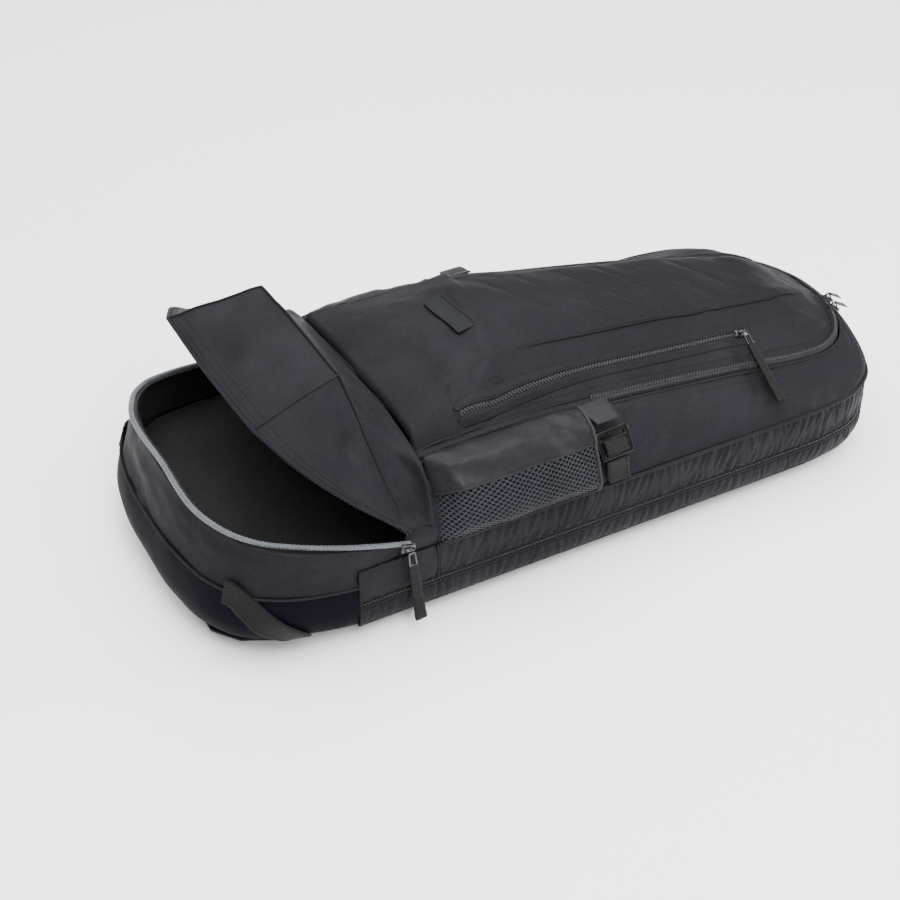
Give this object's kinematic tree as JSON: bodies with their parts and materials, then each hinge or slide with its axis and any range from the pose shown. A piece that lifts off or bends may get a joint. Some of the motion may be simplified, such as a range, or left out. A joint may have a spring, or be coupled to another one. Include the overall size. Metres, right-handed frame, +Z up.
{
  "type": "racket tournament bag",
  "caption": "Long soft racket bag lying on its back: padded main compartment, racket compartment behind it, side pockets, front zip pocket and a shoe compartment whose hood stands open",
  "frame": {"origin": "on the ground, on the bag's centre line, at the rest face under the middle back pad", "axes": "+X runs from the shoe end to the grab-handle end, -Y is the near side, +Z is up with the bag lying on its back panel"},
  "size_m": [0.7703, 0.3558, 0.233],
  "materials": {
    "shell_cloth": "fine satin-weave polyester, charcoal black",
    "boot_cloth": "coated polyester, navy black",
    "lining": "plain lining cloth, black",
    "mesh_cloth": "open spacer mesh over black",
    "pad_foam": "padded air-mesh cloth",
    "webbing": "ribbed woven tape, black",
    "piping": "ribbed binding tape, light grey",
    "zip_coil": "black nylon coil on woven tape",
    "buckle": "moulded nylon, glossy black",
    "badge": "blank moulded badge",
    "slider_metal": "gunmetal plated die casting"
  },
  "bodies": {
    "back_shell": {"back_panel": "pad_foam", "upper_back_pad": "pad_foam", "middle_back_pad": "pad_foam", "lumbar_pad": "pad_foam", "lower_gusset": "shell_cloth", "racket_zip": "zip_coil", "corner_panel_near": "shell_cloth", "corner_panel_far": "shell_cloth", "boot_shell": "boot_cloth", "shoe_collar": "shell_cloth", "rim_piping": "piping", "shoe_floor": "lining", "shoe_rear_wall": "lining", "hood_pleat": "shell_cloth", "lower_strap_near": "webbing", "lower_strap_far": "webbing"},
    "main_tub": {"upper_gusset": "shell_cloth", "racket_divider": "lining", "side_wall": "shell_cloth", "front_wall": "lining", "front_lower_panel": "shell_cloth", "front_pocket_foot": "shell_cloth", "badge": "badge", "pocket_zip_lower": "zip_coil", "main_zip": "zip_coil", "side_pocket_mesh_near": "mesh_cloth", "side_pocket_cloth_near": "shell_cloth", "side_pocket_mesh_far": "mesh_cloth", "side_pocket_cloth_far": "shell_cloth", "strap_tab_near": "webbing", "strap_tab_far": "webbing", "buckle_webbing_near": "webbing", "buckle_webbing_far": "webbing"},
    "lid": {"main_lid": "shell_cloth", "front_pocket_panel": "shell_cloth", "pocket_zip_upper": "zip_coil"},
    "hood": {"shoe_hood": "shell_cloth", "hood_zip_edge": "zip_coil"},
    "lock_near": {"ladder_lock_near": "buckle"},
    "lock_far": {"ladder_lock_far": "buckle"},
    "strap_near": {"shoulder_strap_near": "webbing"},
    "strap_far": {"shoulder_strap_far": "webbing"},
    "handle": {"grab_handle": "webbing"},
    "pocket_slider": {"pocket_zip_slider": "slider_metal"},
    "pocket_pull": {"pocket_zip_pull_link": "slider_metal", "pocket_zip_pull_tab": "webbing"},
    "shoe_slider": {"shoe_zip_slider": "slider_metal"},
    "shoe_pull": {"shoe_zip_pull_link": "slider_metal", "shoe_zip_pull_tab": "webbing"},
    "main_slider_first": {"main_zip_first_slider": "slider_metal"},
    "main_pull_first": {"main_zip_first_pull_link": "slider_metal"},
    "main_slider_second": {"main_zip_second_slider": "slider_metal"},
    "main_pull_second": {"main_zip_second_pull_link": "slider_metal"},
    "racket_slider": {"racket_zip_slider": "slider_metal"},
    "racket_pull": {"racket_zip_pull_link": "slider_metal"}
  },
  "joints": [
    {"name": "racket_compartment_opening", "type": "hinge", "parent": "back_shell", "child": "main_tub", "pos_m": [-0.158, 0, 0.165], "axis": [0, -1, 0], "range_deg": [0, 25]},
    {"name": "lid_opening", "type": "hinge", "parent": "main_tub", "child": "lid", "pos_m": [0.022, 0, 0.191], "axis": [0, -1, 0], "range_deg": [0, 60]},
    {"name": "hood_swing", "type": "hinge", "parent": "back_shell", "child": "hood", "pos_m": [-0.182, 0, 0.094], "axis": [0, 1, 0], "range_deg": [-30, 12], "deforming": ["hood_pleat"]},
    {"name": "ladder_lock_tilt_near", "type": "hinge", "parent": "main_tub", "child": "lock_near", "pos_m": [0.02636, -0.16575, 0.11315], "axis": [1, 0, 0], "range_deg": [0, 35]},
    {"name": "ladder_lock_tilt_far", "type": "hinge", "parent": "main_tub", "child": "lock_far", "pos_m": [0.02636, 0.16575, 0.11315], "axis": [-1, 0, 0], "range_deg": [0, 35]},
    {"name": "shoulder_strap_splay_near", "type": "hinge", "parent": "back_shell", "child": "strap_near", "pos_m": [0.238, -0.084, 0.004], "axis": [0, 0, 1], "range_deg": [0, 8]},
    {"name": "shoulder_strap_splay_far", "type": "hinge", "parent": "back_shell", "child": "strap_far", "pos_m": [0.238, 0.084, 0.004], "axis": [0, 0, -1], "range_deg": [0, 8]},
    {"name": "grab_handle_lift", "type": "hinge", "parent": "back_shell", "child": "handle", "pos_m": [0.366, 0, 0.018], "axis": [0, 1, 0], "range_deg": [0, 65]},
    {"name": "pocket_zip_travel", "type": "slide", "parent": "lid", "child": "pocket_slider", "axis": [-0.9864, -0.0707, 0.1486], "range_m": [0, 0.16]},
    {"name": "pocket_zip_pull_swing", "type": "hinge", "parent": "pocket_slider", "child": "pocket_pull", "pos_m": [0.22315, -0.08981, 0.14478], "axis": [-0.9867, -0.0847, 0.1389], "range_deg": [0, 110]},
    {"name": "shoe_zip_travel", "type": "slide", "parent": "back_shell", "child": "shoe_slider", "axis": [-0.9781, 0, 0.2079], "range_m": [0, 0.05]},
    {"name": "shoe_zip_pull_swing", "type": "hinge", "parent": "shoe_slider", "child": "shoe_pull", "pos_m": [-0.1899, -0.17812, 0.09601], "axis": [-0.995, 0, -0.0995], "range_deg": [0, 110]},
    {"name": "main_zip_first_travel", "type": "slide", "parent": "main_tub", "child": "main_slider_first", "axis": [-0.344, -0.939, 0], "range_m": [0, 0.01]},
    {"name": "main_zip_first_pull_swing", "type": "hinge", "parent": "main_slider_first", "child": "main_pull_first", "pos_m": [0.37782, -0.047, 0.10705], "axis": [0, -1, 0], "range_deg": [0, 90]},
    {"name": "main_zip_second_travel", "type": "slide", "parent": "main_tub", "child": "main_slider_second", "axis": [0.0896, 0.9954, 0.0348], "range_m": [0, 0.028]},
    {"name": "main_zip_second_pull_swing", "type": "hinge", "parent": "main_slider_second", "child": "main_pull_second", "pos_m": [0.38351, -0.03, 0.10705], "axis": [0, -1, 0], "range_deg": [0, 90]},
    {"name": "racket_zip_travel", "type": "slide", "parent": "back_shell", "child": "racket_slider", "axis": [1, 0, 0], "range_m": [0, 0.4]},
    {"name": "racket_zip_pull_swing", "type": "hinge", "parent": "racket_slider", "child": "racket_pull", "pos_m": [-0.224, 0.17372, 0.0427], "axis": [1, 0, 0], "range_deg": [0, 110]}
  ]
}
